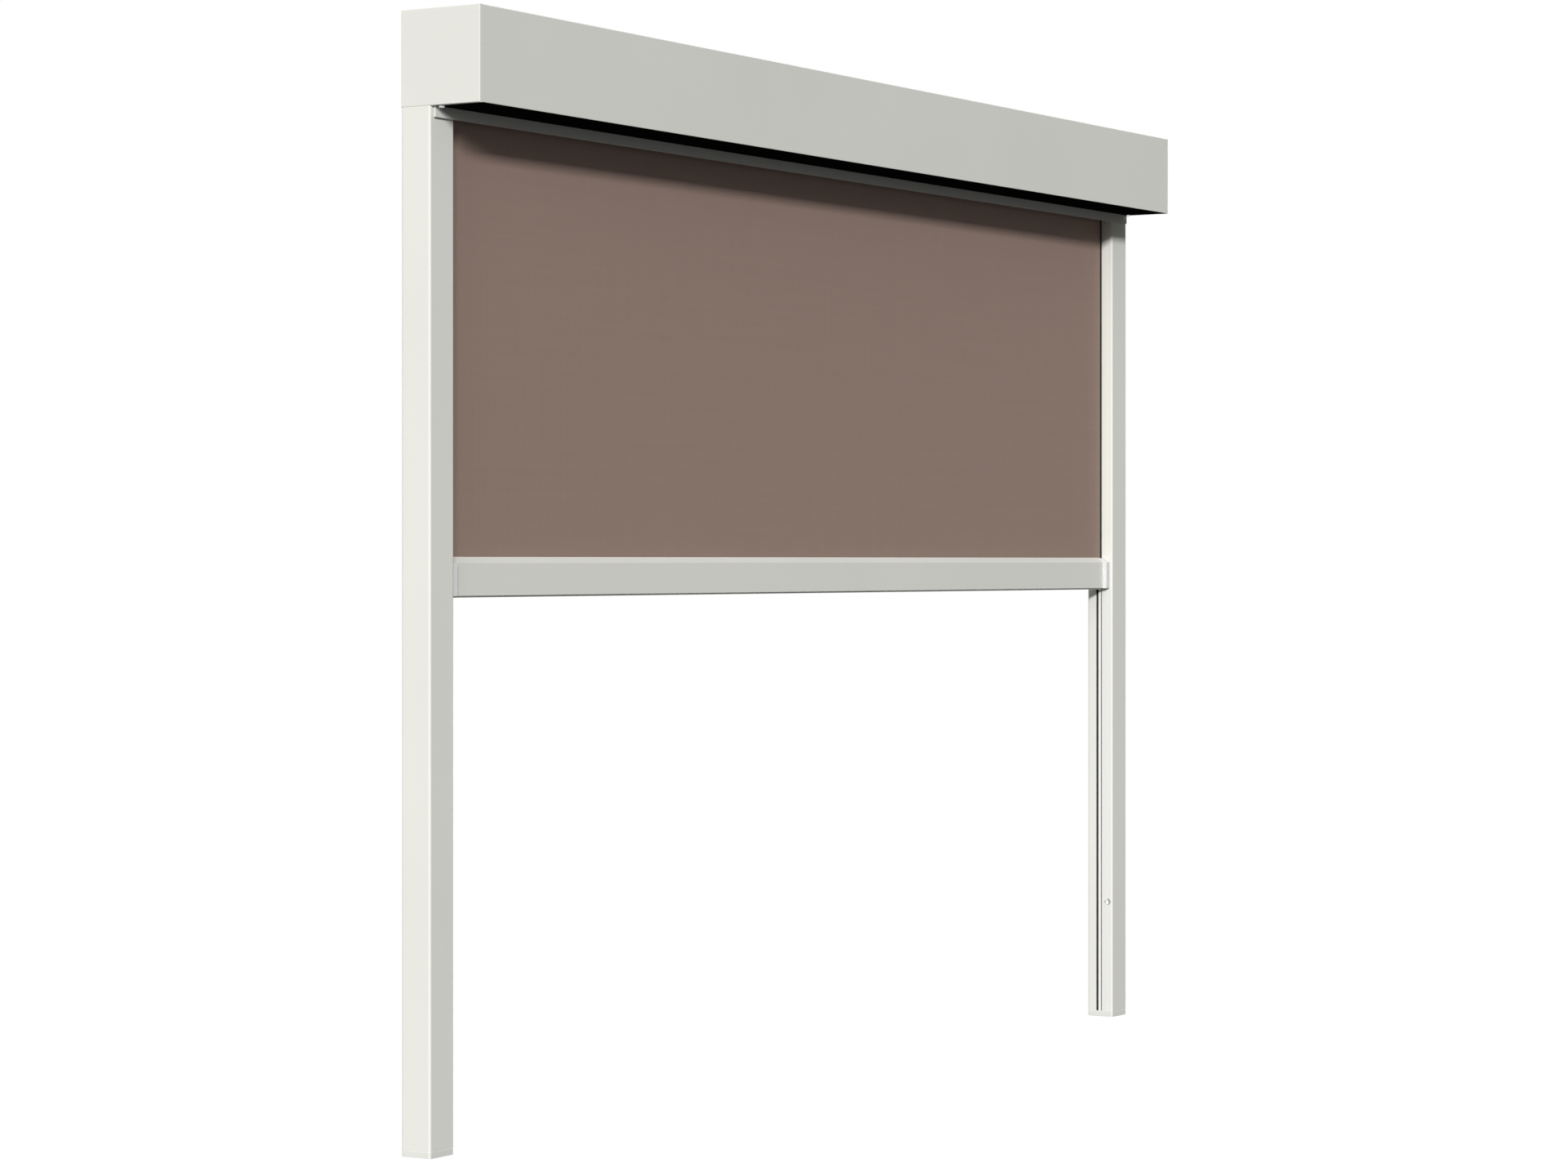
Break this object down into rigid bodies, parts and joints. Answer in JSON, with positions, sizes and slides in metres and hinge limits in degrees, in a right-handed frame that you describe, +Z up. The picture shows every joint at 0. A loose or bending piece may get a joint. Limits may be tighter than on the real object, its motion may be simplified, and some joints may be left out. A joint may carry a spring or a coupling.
{
  "type": "exterior roller blind",
  "caption": "Exterior zip-guided roller blind: square box with a motor roller, side guides, screen cloth and a weighted bottom bar that slides in the guides.",
  "frame": {"origin": "middle of the box's rear face, on the wall plane, level with the roller's axis", "axes": "+X along the box to the right seen from outside, +Y into the wall, +Z up"},
  "size_m": [1.566, 0.1, 1.18],
  "materials": {
    "powder_coat": "fine matt powder coat, warm grey white",
    "cover_coat": "die-cast covers in the same coat",
    "cast_metal": "bare die casting",
    "mill_aluminium": "bare rolled tube",
    "zinc_steel": "bright zinc",
    "white_plastic": "white extruded plastic",
    "coat_plastic": "moulded plastic in the coat's colour",
    "motor_coat": "white coat",
    "dark_plastic": "black moulded plastic",
    "seal_rubber": "grey rubber",
    "rubber": "black rubber",
    "screen_cloth": "brown woven screen cloth",
    "zip_tape": "black zip tape"
  },
  "bodies": {
    "housing": {"box_rear_profile": "powder_coat", "box_front_cover": "powder_coat", "left_end_cover": "cover_coat", "right_end_cover": "cover_coat", "left_end_plate": "cast_metal", "right_end_plate": "cast_metal", "cover_screws": "zinc_steel", "end_plate_screws": "zinc_steel", "bracket_screws": "zinc_steel", "cable_grommet": "rubber", "motor_bracket": "cast_metal", "idler_bracket": "cast_metal", "idler_bearing": "dark_plastic", "tubular_motor": "motor_coat", "motor_head": "dark_plastic", "left_guide_rail": "powder_coat", "right_guide_rail": "powder_coat", "left_zip_insert": "white_plastic", "right_zip_insert": "white_plastic", "left_zip_inlet": "white_plastic", "right_zip_inlet": "white_plastic", "left_guide_foot": "coat_plastic", "right_guide_foot": "coat_plastic", "left_fixing_plug": "coat_plastic", "right_fixing_plug": "coat_plastic", "fabric_sheet": "screen_cloth", "left_zip_strip": "zip_tape", "right_zip_strip": "zip_tape"},
    "roller": {"roller_tube": "mill_aluminium", "fabric_roll": "screen_cloth", "zip_roll": "zip_tape", "idler_cap": "dark_plastic", "idler_pin": "zinc_steel", "motor_crown": "dark_plastic", "drive_wheel": "dark_plastic", "motor_shaft": "zinc_steel"},
    "bar": {"bottom_bar": "powder_coat", "bar_seal": "seal_rubber", "left_bar_end_cap": "coat_plastic", "right_bar_end_cap": "coat_plastic", "ballast_bar": "zinc_steel", "fabric_keder": "dark_plastic"}
  },
  "joints": [
    {"name": "bar_slide", "type": "slide", "parent": "housing", "child": "bar", "axis": [0, 0, 1], "range_m": [-0.574, 0.466], "deforming": ["fabric_sheet", "left_zip_strip", "right_zip_strip"]},
    {"name": "roller_spin", "type": "hinge", "parent": "housing", "child": "roller", "pos_m": [0, -0.04911, 0], "axis": [1, 0, 0], "range_deg": [-1180, 960]}
  ],
  "couplings": [
    {"joint": "roller_spin", "follows": "bar_slide", "rad_per_m": 35.766}
  ]
}
